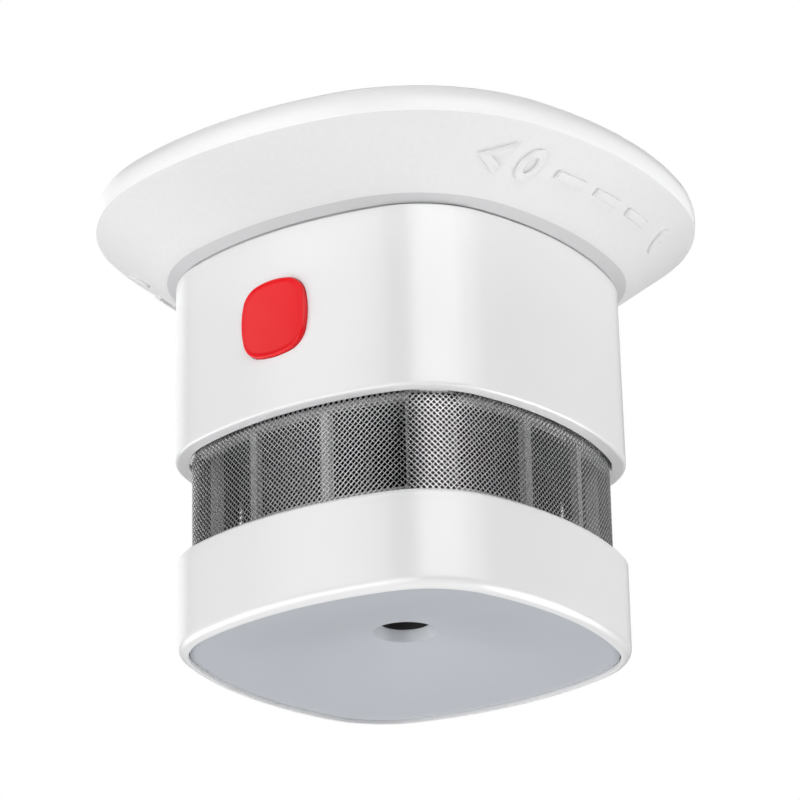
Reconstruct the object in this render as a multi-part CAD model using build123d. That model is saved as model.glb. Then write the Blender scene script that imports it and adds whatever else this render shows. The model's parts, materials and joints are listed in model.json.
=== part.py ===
from build123d import *
import os
from math import cos, radians, sin, sqrt

# Ceiling-mounted mini smoke detector, in millimetres, hanging as it is used.
# Origin: centre of the base's ceiling face. +Z is up, so everything lies at z <= 0.
# The test button is on the -Y side. "Outline" means a square with bowed sides and round
# corners, given as (half width, side arc radius, corner radius).

# ---------------------------------------------------------------- driving sizes
HEIGHT = 49.2
WALL = 1.5
FIT = 0.1                                  # slip fit between parts of one body

RIM = (29.6, 46.9, 21.8)                   # widest outline of the base
RIM_BEAD = ((0.0, 0.48), (-0.7, 0.18), (-1.9, 0.0), (-2.9, 0.13))   # (z, inset) down the rim
RIM_Z, RIM_INSET = RIM_BEAD[-1]
RIM_LOW = tuple(size - RIM_INSET for size in RIM)                 # rim meets skirt
SKIRT_END = (22.2, 41.2, 14.7)             # lower edge of the skirt
BASE_Z = -8.45                             # lower edge of the skirt
SKIRT_WALL = 1.6
COLLAR_Z, COLLAR_INSET = -9.0, 1.3         # sloping collar that closes the joint to the head
LIP = 0.1                                  # narrow flat at the end of the skirt
PLATE_T = 3.0                              # ceiling plate
POCKET_DEPTH = 1.2
PAD_R = 11.5
PAD_T = 0.9
POCKET_IN, POCKET_OUT = 14.0, 24.5         # radii of the eight shallow pockets
POCKET_START, POCKET_STEP, POCKET_SPAN = 20, 26, 24   # degrees, from each X or Y axis
MOUNT_SCREW_R = 2.1
MOUNT_SCREW_X = 16.5
MOUNT_SLOT = 3.0                           # slot travel between the end centres
MOUNT_HEAD_R, MOUNT_HEAD_SLOT = 3.3, 0.6   # clearance for a ceiling screw's head
LOCK_T = 2.0
LOCK_SCREW_Y, LOCK_SCREW_R = 17.5, 0.75
LOCK_HEAD_R, LOCK_HEAD_T = 1.9, 1.0
LOCK_BOSS_R = 2.4

BODY_TOP = (20.85, 39.15, 10.95)
BODY_LOW = (21.0, 39.3, 11.1)
HEAD_Z = -9.1                              # top of the head: 0.1 under the collar
HOUSING_Z = -28.55                         # lower edge of the upper housing
CAP_Z = -39.2                              # upper edge of the lower cap
CAP_LOW = (20.8, 39.1, 10.9)
SCREEN = (19.4, 36.7, 9.6)                 # outside of the stainless screen
SCREEN_T = 0.25
DECK_T = 1.5
TOP_FILLET, LIP_FILLET, RIM_FILLET = 0.9, 0.35, 1.1

TWIST = 15.0                               # degrees from locked to unlocked
HOOK_R = 19.6
HOOK_NECK = 1.5
HOOK_HEAD = 3.0
HOOK_HALF_ANGLE = 6.0
HOOK_TOP = -4.8
HOOK_UNDER = -6.2

BUTTON_Z = -18.7
BUTTON_W, BUTTON_H = 8.0, 8.2
BUTTON_CORNER = 2.8
BUTTON_FACE_Y = -21.5
BUTTON_GAP = 0.12
BUTTON_DISH_R, BUTTON_DISH_DEPTH = 30.0, 0.25
FLANGE_EXTRA = 1.0
FLANGE_Y = -19.0                           # front of the button's retaining flange
FLANGE_T = 0.9
STEM_R = 1.6
PLUNGER_FRONT_Y = -17.3
SWITCH_FRONT_Y = -16.2
SWITCH_SIZE = 6.0
SWITCH_DEPTH = 3.6
PLUNGER_R = 1.7
BUTTON_BOARD_T = 1.0

CELL_R, CELL_LENGTH = 8.5, 33.5
CELL_Y, CELL_Z = 2.5, -17.8
NUB_R, NUB_T = 3.2, 1.0
CONTACT_T = 0.3

BOSS_AT = 13.6                             # screw bosses and corner posts, x and y
BOSS_R = 2.6
BOSS_TOP = -23.0
SCREW_R = 1.0
SCREW_HEAD_R, SCREW_HEAD_T = 1.8, 1.3

BOARD_TOP, BOARD_T = -28.3, 1.2
POST_W = 4.1
RIB_W, RIB_AT, RIB_DEPTH = 0.9, 4.45, 0.8   # upright ribs behind the screen
CHAMBER_R = 14.8
CHAMBER_TOP = -29.7
VANES, VANE_AT, VANE_TURN = 20, 12.4, 38   # count, radius and slant of the light traps
VANE_L, VANE_T = 4.4, 0.7
LUG_IN, LUG_OUT, LUG_T = 13.6, 16.4, 0.9      # light-shield lugs that face the corner bosses
LENS_R, LENS_Z = 1.5, -34.6                # the emitter and receiver lie at this height
EMITTER, RECEIVER = (-8.0, 0.0), (5.1, 6.1)

PORT_R, PORT_LIP_R = 2.65, 3.25            # sound port and its flared mouth
DISH_Z = -46.35                            # panel surface at the port
PANEL_EDGE_Z = -48.85
PANEL_T = 1.2
DISH_STEPS, DISH_FLAT = 4, 4.2             # bands of the dish; flat ring round the port
RESONATOR_R = 14.4
PIEZO_R, PIEZO_T = 12.6, 0.25
PIEZO_Z = -42.2
PIN_X, PIN_Y, PIN_R = 6.0, -6.4, 0.4       # contact pins down to the sounder
LED_BOARD_Z, LED_BOARD_T = -45.4, 1.0      # indicator board's lower face and thickness
LED_AT, LED_SIZE, LED_T = 16.2, 1.6, 0.6


# ---------------------------------------------------------------- shared shapes
def inset(outline, by):
    """The same outline, moved inwards by a distance all round."""
    return tuple(size - by for size in outline)


def outline_face(outline, z):
    """A face: four bowed sides joined by four tangent corner arcs."""
    half, side, corner = outline
    back = side - half
    reach = side - corner
    k = (sqrt(2 * reach**2 - back**2) - back) / 2
    scale = side / reach
    tx, ty = scale * (k + back) - back, scale * k
    mid = k + corner / sqrt(2)
    edges = Curve()
    for turn in range(4):
        spot = Rot(0, 0, 90 * turn)
        edges += spot * ThreePointArc((tx, -ty, 0), (half, 0, 0), (tx, ty, 0))
        edges += spot * ThreePointArc((tx, ty, 0), (mid, mid, 0), (ty, tx, 0))
    return Pos(0, 0, z) * make_face(edges.edges())


def prism(outline, z_low, z_high):
    return extrude(outline_face(outline, z_low), z_high - z_low)


def taper(low, z_low, high, z_high):
    """A solid between two outlines."""
    return loft([outline_face(low, z_low), outline_face(high, z_high)], ruled=True)


def rod(radius, z_low, z_high, x=0.0, y=0.0):
    return Pos(x, y, (z_low + z_high) / 2) * Cylinder(radius, z_high - z_low)


def block(x, y, z):
    """A box from (low, high) pairs."""
    size = [high - low for low, high in (x, y, z)]
    middle = [(high + low) / 2 for low, high in (x, y, z)]
    return Pos(*middle) * Box(*size)


def tube(outer, inner, z_low, z_high):
    return rod(outer, z_low, z_high) - rod(inner, z_low - 1, z_high + 1)


def sector(r_in, r_out, start, end, z_low, z_high):
    """A ring sector between two angles."""
    middle = (start + end) / 2

    def at(radius, angle):
        return (radius * cos(radians(angle)), radius * sin(radians(angle)), z_low)

    edges = Curve() + [
        ThreePointArc(at(r_in, start), at(r_in, middle), at(r_in, end)),
        Line(at(r_in, end), at(r_out, end)),
        ThreePointArc(at(r_out, end), at(r_out, middle), at(r_out, start)),
        Line(at(r_out, start), at(r_in, start)),
    ]
    return extrude(make_face(edges.edges()), z_high - z_low)


def pin_holes():
    return [rod(PIN_R + 0.2, -50, -20, side * PIN_X, PIN_Y) for side in (-1, 1)]


def corners():
    """The four screw positions."""
    return [(x * BOSS_AT, y * BOSS_AT) for x, y in ((1, 1), (-1, 1), (-1, -1), (1, -1))]


def slot_hole(x, radius, length, z_low, z_high):
    """A hole with round ends, long along X."""
    ends = [rod(radius, z_low, z_high, x=x + side * length / 2) for side in (-1, 1)]
    middle = block((x - length / 2, x + length / 2), (-radius, radius), (z_low, z_high))
    return ends[0] + ends[1] + middle


def button_prism(grow, y_low, y_high):
    """The button's rounded-square section, grown by a margin, along Y."""
    plane = Plane((0, y_high, BUTTON_Z), x_dir=(1, 0, 0), z_dir=(0, -1, 0))
    section = plane * RectangleRounded(
        BUTTON_W + 2 * grow, BUTTON_H + 2 * grow, BUTTON_CORNER + grow
    )
    return extrude(section, y_high - y_low)


# ---------------------------------------------------------------- ceiling base
MARK_PROUD = 0.3
MARK_Z, MARK_HALF = -5.5, 1.2              # raised marks: middle height and half height
MARK_BAR = 0.6
TIP_Y, RING_Y, DOT_Y = -16.6, -11.0, 13.0
DASHES = (-5.5, 0.5, 6.5)
DASH_HALF = 1.9


def twist_marks():
    """Raised on both X sides: an unlocking arrow head, an open ring, dashes and a dot."""

    def chevron(tip):
        return Polyline(
            (tip, MARK_Z),
            (tip + 2.6, MARK_Z + MARK_HALF),
            (tip + 2.6, MARK_Z + MARK_HALF - 0.7),
            (tip + 1.2, MARK_Z),
            (tip + 2.6, MARK_Z - MARK_HALF + 0.7),
            (tip + 2.6, MARK_Z - MARK_HALF),
            close=True,
        )

    plane = Plane((20, 0, 0), x_dir=(0, 1, 0), z_dir=(1, 0, 0))
    ring = Pos(RING_Y, MARK_Z) * (Circle(MARK_HALF) - Circle(MARK_HALF - MARK_BAR))
    flat = make_face(chevron(TIP_Y)) + ring + Pos(DOT_Y, MARK_Z) * Circle(MARK_HALF * 0.8)
    for y in DASHES:
        flat += Pos(y, MARK_Z) * Rectangle(2 * DASH_HALF, MARK_BAR)
    cutter = extrude(plane * flat, 11)
    wedge = taper(inset(SKIRT_END, -MARK_PROUD), BASE_Z, inset(RIM_LOW, -MARK_PROUD), RIM_Z)
    return [Rot(0, 0, turn) * (wedge & cutter) for turn in (0, 180)]


def base_shell():
    skirt = taper(SKIRT_END, BASE_Z, RIM_LOW, RIM_Z)
    shell = skirt
    for (z_high, in_high), (z_low, in_low) in zip(RIM_BEAD, RIM_BEAD[1:]):
        shell += taper(inset(RIM, in_low), z_low, inset(RIM, in_high), z_high)
    shell += taper(inset(SKIRT_END, COLLAR_INSET), COLLAR_Z, inset(SKIRT_END, LIP), BASE_Z)
    mouth = inset(SKIRT_END, SKIRT_WALL)
    chest = inset(RIM_LOW, 2 * SKIRT_WALL)
    shell -= prism(mouth, COLLAR_Z - 1, BASE_Z + LOCK_T)
    shell -= taper(mouth, BASE_Z + LOCK_T - 0.01, chest, -PLATE_T)
    for mark in twist_marks():
        shell += mark
    shell -= rod(PAD_R + FIT, -PAD_T, 1)
    for turn in range(4):
        for half in (0, 1):
            start = 90 * turn + POCKET_START + POCKET_STEP * half
            end = start + POCKET_SPAN
            shell -= sector(POCKET_IN, POCKET_OUT, start, end, -POCKET_DEPTH, 1)
    for side in (-1, 1):
        shell -= slot_hole(side * MOUNT_SCREW_X, MOUNT_SCREW_R, MOUNT_SLOT, -9, 1)
        y = side * LOCK_SCREW_Y
        shell += rod(LOCK_BOSS_R, BASE_Z + LOCK_T, -PLATE_T, y=y)
        shell -= rod(LOCK_SCREW_R + 0.05, BASE_Z, -PLATE_T + 0.5, y=y)
    return shell


def adhesive_pad():
    return rod(PAD_R, -PAD_T, 0)


def lock_plate():
    """The bayonet plate, flush with the collar; its keyholes take the head's hooks."""
    mouth = inset(SKIRT_END, SKIRT_WALL + FIT)
    low, high = COLLAR_Z, BASE_Z + LOCK_T - FIT
    plate = prism(mouth, low, high)
    neck_in, neck_out = HOOK_R - HOOK_NECK / 2 - 0.3, HOOK_R + HOOK_NECK / 2 + 0.3
    head_in, head_out = HOOK_R - HOOK_HEAD / 2 - 0.3, HOOK_R + HOOK_NECK / 2 + 0.3
    reach = HOOK_HALF_ANGLE + 1.5
    for turn in range(4):
        middle = 45 + 90 * turn
        plate -= sector(neck_in, neck_out, middle - TWIST - reach, middle + reach, low - 1, 0)
        plate -= sector(
            head_in, head_out, middle - TWIST - reach, middle - TWIST + reach, low - 1, 0
        )
    for side in (-1, 1):
        plate -= slot_hole(side * MOUNT_SCREW_X, MOUNT_HEAD_R, MOUNT_HEAD_SLOT, low - 1, 0)
        plate -= rod(LOCK_SCREW_R + 0.45, low - 1, 0, y=side * LOCK_SCREW_Y)
        plate -= rod(LOCK_HEAD_R + 0.2, low - 1, BASE_Z + LOCK_HEAD_T, y=side * LOCK_SCREW_Y)
    return plate


def lock_plate_screws():
    one = rod(LOCK_SCREW_R, BASE_Z + LOCK_HEAD_T, -PLATE_T - 1.0)
    one += rod(LOCK_HEAD_R, BASE_Z + 0.05, BASE_Z + LOCK_HEAD_T)
    return [Pos(0, side * LOCK_SCREW_Y, 0) * one for side in (-1, 1)]


# ---------------------------------------------------------------- head: upper housing
def hooks():
    """Four L-shaped bayonet hooks; the foot of each points inwards."""
    shapes = []
    for turn in range(4):
        middle = 45 + 90 * turn
        start, end = middle - HOOK_HALF_ANGLE, middle + HOOK_HALF_ANGLE
        outer = HOOK_R + HOOK_NECK / 2
        neck = sector(outer - HOOK_NECK, outer, start, end, HEAD_Z - DECK_T, HOOK_TOP)
        foot = sector(HOOK_R - HOOK_HEAD / 2, outer, start, end, HOOK_UNDER, HOOK_TOP)
        shapes.append(neck + foot)
    return shapes


def upper_housing():
    solid = taper(BODY_LOW, HOUSING_Z, BODY_TOP, HEAD_Z)
    solid = fillet(solid.faces().sort_by(Axis.Z)[-1].edges(), TOP_FILLET)
    solid = fillet(solid.faces().sort_by(Axis.Z)[0].edges(), LIP_FILLET)
    inner = inset(BODY_LOW, WALL)
    shell = solid - prism(inner, HOUSING_Z - 1, HEAD_Z - DECK_T)
    for x, y in corners():
        shell += rod(BOSS_R, HOUSING_Z, BOSS_TOP, x, y) & prism(inset(BODY_LOW, 0.7), -40, 0)
        shell -= rod(SCREW_R - 0.15, HOUSING_Z - 1, BOSS_TOP - 0.8, x, y)
    shell -= prism(inset(SCREEN, -FIT), HOUSING_Z - 1, HOUSING_Z + 0.8)
    well_x, well_y = CELL_LENGTH / 2 + 1.2, CELL_R + 0.3
    shell -= block(
        (-well_x, well_x), (CELL_Y - well_y, CELL_Y + well_y), (HEAD_Z - 5, HEAD_Z + 1)
    )
    shell -= button_prism(BUTTON_GAP, -25, -17)
    for hook in hooks():
        shell += hook
    return shell


# ---------------------------------------------------------------- test button and switch
def test_button():
    cap = button_prism(0, BUTTON_FACE_Y, FLANGE_Y)
    front = cap.faces().sort_by(Axis.Y)[0]
    cap = fillet(front.edges(), 0.45)
    dish_y = BUTTON_FACE_Y + BUTTON_DISH_DEPTH - BUTTON_DISH_R
    dish = Pos(0, dish_y, BUTTON_Z) * Sphere(BUTTON_DISH_R)
    flange = button_prism(FLANGE_EXTRA, FLANGE_Y, FLANGE_Y + FLANGE_T)
    stem_end = PLUNGER_FRONT_Y - 0.05
    stem_start = FLANGE_Y + FLANGE_T
    stem = Pos(0, (stem_start + stem_end) / 2, BUTTON_Z) * Rot(90, 0, 0) * Cylinder(
        STEM_R, stem_end - stem_start
    )
    return (cap - dish) + flange + stem


def along_y(radius, y_low, y_high, x=0.0, z=BUTTON_Z):
    return Pos(x, (y_low + y_high) / 2, z) * Rot(90, 0, 0) * Cylinder(radius, y_high - y_low)


def switch_body():
    half = SWITCH_SIZE / 2
    back = SWITCH_FRONT_Y + SWITCH_DEPTH
    case = block((-half, half), (SWITCH_FRONT_Y, back), (BUTTON_Z - half, BUTTON_Z + half))
    return case - along_y(PLUNGER_R + 0.05, SWITCH_FRONT_Y - 1, back - 0.8)


def switch_plunger():
    return along_y(PLUNGER_R, PLUNGER_FRONT_Y, SWITCH_FRONT_Y + 1.8)


def button_board():
    front = SWITCH_FRONT_Y + SWITCH_DEPTH
    return block((-7, 7), (front, front + BUTTON_BOARD_T), (BOARD_TOP + 1.6, -12.2))


def board_header():
    """Four right-angle pins with their plastic carrier, between the two boards."""
    y = SWITCH_FRONT_Y + SWITCH_DEPTH - 1.0
    carrier = block((-5, 5), (y - 1.0, y + 1.0), (BOARD_TOP, BOARD_TOP + 1.5))
    pins = [
        block((x - 0.3, x + 0.3), (y + 0.3, y + 0.9), (BOARD_TOP + 1.5, BOARD_TOP + 4.0))
        for x in (-3.81, -1.27, 1.27, 3.81)
    ]
    for pin in pins:
        carrier += pin
    return carrier


# ---------------------------------------------------------------- cell and its contacts
def along_x(radius, x_low, x_high, y=CELL_Y, z=CELL_Z):
    return Pos((x_low + x_high) / 2, y, z) * Rot(0, 90, 0) * Cylinder(radius, x_high - x_low)


def battery_cell():
    return fillet(along_x(CELL_R, -CELL_LENGTH / 2, CELL_LENGTH / 2 - NUB_T).edges(), 0.5)


def battery_terminal():
    return along_x(NUB_R, CELL_LENGTH / 2 - NUB_T, CELL_LENGTH / 2)


def battery_plus_contact():
    x = CELL_LENGTH / 2
    plate = block((x, x + CONTACT_T), (CELL_Y - 3, CELL_Y + 3), (CELL_Z - 5, CELL_Z + 4))
    foot = block((x, x + CONTACT_T), (CELL_Y - 1, CELL_Y + 1), (BOARD_TOP, CELL_Z - 5))
    return plate + foot


def battery_minus_contact():
    """A flat strip with a bowed leaf that presses on the can's end."""
    x = -CELL_LENGTH / 2 - 0.9
    strip = block((x - CONTACT_T, x), (CELL_Y - 3, CELL_Y + 3), (CELL_Z - 5, CELL_Z + 5))
    foot = block((x - CONTACT_T, x), (CELL_Y - 1, CELL_Y + 1), (BOARD_TOP, CELL_Z - 5))
    bow = 0.9
    radius = (4.5**2 + bow**2) / (2 * bow)
    ring = along_y(radius, CELL_Y - 2, CELL_Y + 2, x + bow - radius, CELL_Z)
    ring -= along_y(radius - CONTACT_T, CELL_Y - 3, CELL_Y + 3, x + bow - radius, CELL_Z)
    leaf = ring & block((x, x + bow + 1), (CELL_Y - 3, CELL_Y + 3), (CELL_Z - 4.9, CELL_Z + 4.9))
    return strip + foot + leaf


def battery_cradle():
    """Open tray under the cell, cut to the housing's inside."""
    half = CELL_LENGTH / 2
    tray = block((-half - 0.6, half + 0.6), (CELL_Y - 9.6, CELL_Y + 8.4), (BOARD_TOP + 0.1, CELL_Z - 2))
    tray &= prism(inset(BODY_LOW, WALL + 0.3), -40, 0)
    tray -= along_x(CELL_R + 0.1, -half - 2, half + 2)
    for side in (-1, 1):
        end = side * half
        tray -= block(
            (min(end, end + side * 3), max(end, end + side * 3)),
            (CELL_Y - 3.3, CELL_Y + 3.3),
            (BOARD_TOP - 1, CELL_Z),
        )
    for x, y in corners():
        tray -= rod(BOSS_R + 0.3, -40, 0, x, y)
    return tray


# ---------------------------------------------------------------- boards
def main_board():
    board = prism(inset(SCREEN, 2.4), BOARD_TOP - BOARD_T, BOARD_TOP)
    for x, y in corners():
        board -= rod(BOSS_R + 0.6, -40, -20, x, y)
    return board


def controller_chip():
    return block((-10.7, -7.1), (-13.0, -8.0), (BOARD_TOP, BOARD_TOP + 1.4))


def radio_module():
    return block((7.1, 10.7), (-13.0, -7.6), (BOARD_TOP, BOARD_TOP + 2.2))


# ---------------------------------------------------------------- optical chamber
def chamber_base():
    floor = rod(CHAMBER_R, CHAMBER_TOP - 1.3, CHAMBER_TOP)
    for x, y in (EMITTER, RECEIVER):
        floor -= rod(LENS_R + 0.4, -40, 0, x, y)
    for hole in pin_holes():
        floor -= hole
    return floor


def labyrinth_cover():
    """A roof disc carrying a ring of slanted vanes, and four lugs that close the gap to the bosses."""
    low = CAP_Z + 0.2
    cover = rod(CHAMBER_R, low, low + 1.2)
    vane_top, vane_low = CHAMBER_TOP - 1.4, low + 1.1
    vane = Box(VANE_L, VANE_T, vane_top - vane_low)
    vane = Pos(VANE_AT, 0, (vane_top + vane_low) / 2) * Rot(0, 0, VANE_TURN) * vane
    for i in range(VANES):
        cover += Rot(0, 0, 360 / VANES * i) * vane
    lug = Box(LUG_OUT - LUG_IN, LUG_T, vane_top - low)
    lug = Pos((LUG_OUT + LUG_IN) / 2, 0, (vane_top + low) / 2) * lug
    for turn in range(4):
        cover += Rot(0, 0, 45 + 90 * turn) * lug
    for hole in pin_holes():
        cover -= hole
    return cover


def lensed_part(spot, aim):
    """A 3 mm lensed part lying across the chamber, with two leads up to the board."""
    x, y = spot
    length = 3.4
    body = Rot(0, 90, 0) * Cylinder(LENS_R, length)
    lens = Pos(length / 2, 0, 0) * Sphere(LENS_R)
    part = Pos(x, y, LENS_Z) * Rot(0, 0, aim) * (body + lens)
    for side in (-0.6, 0.6):
        part += rod(0.25, LENS_Z, BOARD_TOP - BOARD_T, x, y + side)
    return part


def ir_led():
    return lensed_part(EMITTER, 0)


def photodiode():
    return lensed_part(RECEIVER, 230)


# ---------------------------------------------------------------- screen and its frame
def mesh_frame():
    outer = inset(SCREEN, SCREEN_T + 0.05)
    inner = inset(outer, RIB_DEPTH)
    top, low = HOUSING_Z - 0.1, CAP_Z + 0.05
    ring = prism(outer, low, top) - prism(inner, low - 1, top + 1)
    keep = prism(outer, top - 0.6, top) + prism(outer, low, low + 0.8)
    for turn in range(4):
        for side in (-1, 1):
            rib = Pos(20, side * RIB_AT, (top + low) / 2) * Box(10, RIB_W, top - low)
            keep += Rot(0, 0, 90 * turn) * rib
        post = Pos(20, 0, (top + low) / 2) * Box(14, POST_W, top - low)
        keep += Rot(0, 0, 90 * turn + 45) * post
    frame = ring & keep
    for x, y in corners():
        frame += rod(BOSS_R - 0.1, low, top, x, y) & prism(outer, low, top)
    for x, y in corners():
        frame -= rod(SCREW_R + 0.1, low - 1, top + 1, x, y)
    return frame


def mesh_band():
    top, low = HOUSING_Z + 0.6, CAP_Z + 0.02
    return prism(SCREEN, low, top) - prism(inset(SCREEN, SCREEN_T), low - 1, top + 1)


# ---------------------------------------------------------------- lower cap and sounder
def lower_cap():
    cap = prism(CAP_LOW, -HEIGHT, CAP_Z)
    cap = fillet(cap.faces().sort_by(Axis.Z)[0].edges(), RIM_FILLET)
    cap = fillet(cap.faces().sort_by(Axis.Z)[-1].edges(), LIP_FILLET)
    inner = inset(CAP_LOW, WALL)
    cap -= prism(inner, -HEIGHT - 1, CAP_Z - 1.4)
    mouth = inset(CAP_LOW, RIM_FILLET)
    cap -= prism(mouth, -HEIGHT - 1, -HEIGHT + 1.6)
    for x, y in corners():
        cap -= rod(SCREW_R + 0.1, -42, -38, x, y)
    for hole in pin_holes():
        cap -= hole
    return cap


def case_screws():
    top, under = BOSS_TOP - 1.0, CAP_Z - 1.4
    one = rod(SCREW_R - 0.15, under, top) + rod(SCREW_HEAD_R, under - SCREW_HEAD_T, under)
    one -= Pos(0, 0, under - SCREW_HEAD_T) * Box(2.2, 0.5, 1.0)
    one -= Pos(0, 0, under - SCREW_HEAD_T) * Box(0.5, 2.2, 1.0)
    return [Pos(x, y, 0) * one for x, y in corners()]


def resonator_cup():
    top, floor = CAP_Z - 1.5, -44.2
    cup = rod(RESONATOR_R, floor, top)
    cup -= rod(PIEZO_R + 0.1, PIEZO_Z - PIEZO_T, top + 1)
    cup -= rod(PIEZO_R - 1.0, floor + 0.9, top + 1)
    cup += rod(PORT_R + 1.0, DISH_Z + PANEL_T + 0.05, floor + 0.1)
    return cup - rod(PORT_R, -50, top)


def piezo_disc():
    return rod(PIEZO_R, PIEZO_Z - PIEZO_T, PIEZO_Z)


def piezo_ceramic():
    return rod(9.5, PIEZO_Z, PIEZO_Z + 0.2)


def piezo_seal_ring():
    return tube(PIEZO_R, PIEZO_R - 1.4, PIEZO_Z, CAP_Z - 1.45)


def piezo_contact_pins():
    low, high = PIEZO_Z + 0.2, BOARD_TOP - BOARD_T
    return [rod(PIN_R, low, high, side * PIN_X, PIN_Y) for side in (-1, 1)]


def led_ring_board():
    board = prism(inset(CAP_LOW, WALL + 0.3), LED_BOARD_Z, LED_BOARD_Z + LED_BOARD_T)
    board -= rod(RESONATOR_R - 2.0, -50, -40)
    return board


def indicator_leds():
    half = LED_SIZE / 2
    one = block((-half, half), (-half, half), (LED_BOARD_Z - LED_T, LED_BOARD_Z))
    spots = [Rot(0, 0, 90 * turn) * Pos(LED_AT, 0, 0) for turn in range(4)]
    return [spot * one for spot in spots]


def dish_section(share):
    """The panel's outline shrunk towards the port, rounder and higher on the way."""
    edge = inset(CAP_LOW, RIM_FILLET + FIT)
    half = DISH_FLAT + share * (edge[0] - DISH_FLAT)
    side = half * (1.1 + share * (edge[1] / edge[0] - 1.1))
    corner = half * (0.9 + share * (edge[2] / edge[0] - 0.9))
    z = DISH_Z + (PANEL_EDGE_Z - DISH_Z) * sin(radians(90 * share))
    return outline_face((half, side, corner), z)


def dish_mound():
    """The solid under the panel's dished surface, from its edge up to the port."""
    shares = [1 - i / DISH_STEPS for i in range(DISH_STEPS + 1)]
    return loft([dish_section(share) for share in shares], ruled=True)


def diffuser_panel():
    """Light panel, dished towards the sound port, with an upright rim round its edge."""
    edge = inset(CAP_LOW, RIM_FILLET + FIT)
    blank = prism(edge, PANEL_EDGE_Z, PANEL_EDGE_Z + PANEL_T) + Pos(0, 0, PANEL_T) * dish_mound()
    panel = blank - dish_mound()
    mouth = Pos(0, 0, DISH_Z + 0.5) * Cone(PORT_LIP_R, PORT_R, 1.0)
    return panel - rod(PORT_R, -60, -40) - mouth


# ---------------------------------------------------------------- write the pieces
PIECES = [
    base_shell, adhesive_pad, lock_plate, lock_plate_screws,
    upper_housing, battery_cradle, battery_cell, battery_terminal,
    battery_plus_contact, battery_minus_contact, main_board, controller_chip,
    radio_module, board_header, button_board, switch_body, switch_plunger, test_button,
    chamber_base, labyrinth_cover, ir_led, photodiode, mesh_frame, mesh_band,
    lower_cap, resonator_cup, piezo_disc, piezo_ceramic, piezo_seal_ring,
    piezo_contact_pins, led_ring_board, indicator_leds, diffuser_panel, case_screws,
]

os.makedirs("parts", exist_ok=True)
for make in PIECES:
    shape = make()
    solids = shape if isinstance(shape, list) else [shape]
    solids = [solid for item in solids for solid in item.solids()]
    piece = solids[0] if len(solids) == 1 else Compound(children=solids)
    export_step(piece, f"parts/{make.__name__}.step")
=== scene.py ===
"""Looks of a ceiling-mounted mini smoke detector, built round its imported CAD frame.

Lengths inside this script are millimetres, turned to metres when a mesh is made.
An outline is a square with bowed sides and round corners. It is named by its half width and
a shape: (side arc radius minus half width, half width minus corner radius).
"""

import json
from math import atan2, cos, hypot, pi, radians, sin, sqrt, tan

import bmesh
import bpy
import numpy as np
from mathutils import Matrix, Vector

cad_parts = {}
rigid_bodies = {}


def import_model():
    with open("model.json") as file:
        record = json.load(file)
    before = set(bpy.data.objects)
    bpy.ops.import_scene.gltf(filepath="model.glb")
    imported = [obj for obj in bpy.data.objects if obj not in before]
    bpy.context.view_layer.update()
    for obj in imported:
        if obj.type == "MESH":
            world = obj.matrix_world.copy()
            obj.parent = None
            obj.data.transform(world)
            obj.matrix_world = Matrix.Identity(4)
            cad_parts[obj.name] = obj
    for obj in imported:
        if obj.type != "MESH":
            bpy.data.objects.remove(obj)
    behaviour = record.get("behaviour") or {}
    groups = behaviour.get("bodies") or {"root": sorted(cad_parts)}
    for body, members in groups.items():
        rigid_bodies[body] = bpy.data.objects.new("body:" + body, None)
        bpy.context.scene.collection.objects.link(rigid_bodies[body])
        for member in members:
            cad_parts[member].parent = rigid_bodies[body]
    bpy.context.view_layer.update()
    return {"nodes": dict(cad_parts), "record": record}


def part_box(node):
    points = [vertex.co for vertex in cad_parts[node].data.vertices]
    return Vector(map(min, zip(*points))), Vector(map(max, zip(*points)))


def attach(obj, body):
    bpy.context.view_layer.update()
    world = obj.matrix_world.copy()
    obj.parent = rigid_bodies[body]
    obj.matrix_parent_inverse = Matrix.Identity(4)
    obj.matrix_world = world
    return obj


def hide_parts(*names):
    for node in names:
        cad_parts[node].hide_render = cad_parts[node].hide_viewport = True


MM = 0.001
SIDE_STEPS, CORNER_STEPS = 24, 20
BODY_SHAPE = (18.3, 9.9)
RIM_SHAPE = (17.3, 7.8)
SKIRT_SHAPE = (19.0, 7.5)
BUTTON_SHAPE = (4.6, 1.6)

for leftover in list(bpy.data.objects):
    bpy.data.objects.remove(leftover)
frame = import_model()


def span(node, axis):
    """Lowest and highest value of a CAD node along an axis, in millimetres."""
    low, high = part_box(node)
    return low[axis] / MM, high[axis] / MM


# ---------------------------------------------------------------- outlines and rings
def outline(half, shape):
    """Points of an outline, anticlockwise from the +X side: four side arcs, four corner arcs."""
    back, less = shape
    side, corner = half + back, half - less
    reach = side - corner
    k = (sqrt(2 * reach**2 - back**2) - back) / 2
    tangent = atan2(k, k + back)
    quarter = []
    for i in range(SIDE_STEPS):
        a = tangent * (2 * i / SIDE_STEPS - 1)
        quarter.append((side * cos(a) - back, side * sin(a)))
    for i in range(CORNER_STEPS):
        a = tangent + (pi / 2 - 2 * tangent) * i / CORNER_STEPS
        quarter.append((k + corner * cos(a), k + corner * sin(a)))
    points = []
    for turn in range(4):
        c, s = (1, 0, -1, 0)[turn], (0, 1, 0, -1)[turn]
        points += [(c * x - s * y, s * x + c * y) for x, y in quarter]
    return points


def circle_like(radius, guide):
    """A circle whose points lie at the same angles as a guide outline's."""
    return [(radius * x / hypot(x, y), radius * y / hypot(x, y)) for x, y in guide]


def mix(a, b, t):
    return [tuple(p + (q - p) * t for p, q in zip(u, v)) for u, v in zip(a, b)]


def level(points, z):
    return [(x, y, z) for x, y in points]


def arc(centre, radius, start, end, steps):
    """Points of an arc in a section plane, with angles in degrees."""
    angles = [radians(start + (end - start) * i / steps) for i in range(steps + 1)]
    return [(centre[0] + radius * cos(a), centre[1] + radius * sin(a)) for a in angles]


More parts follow.
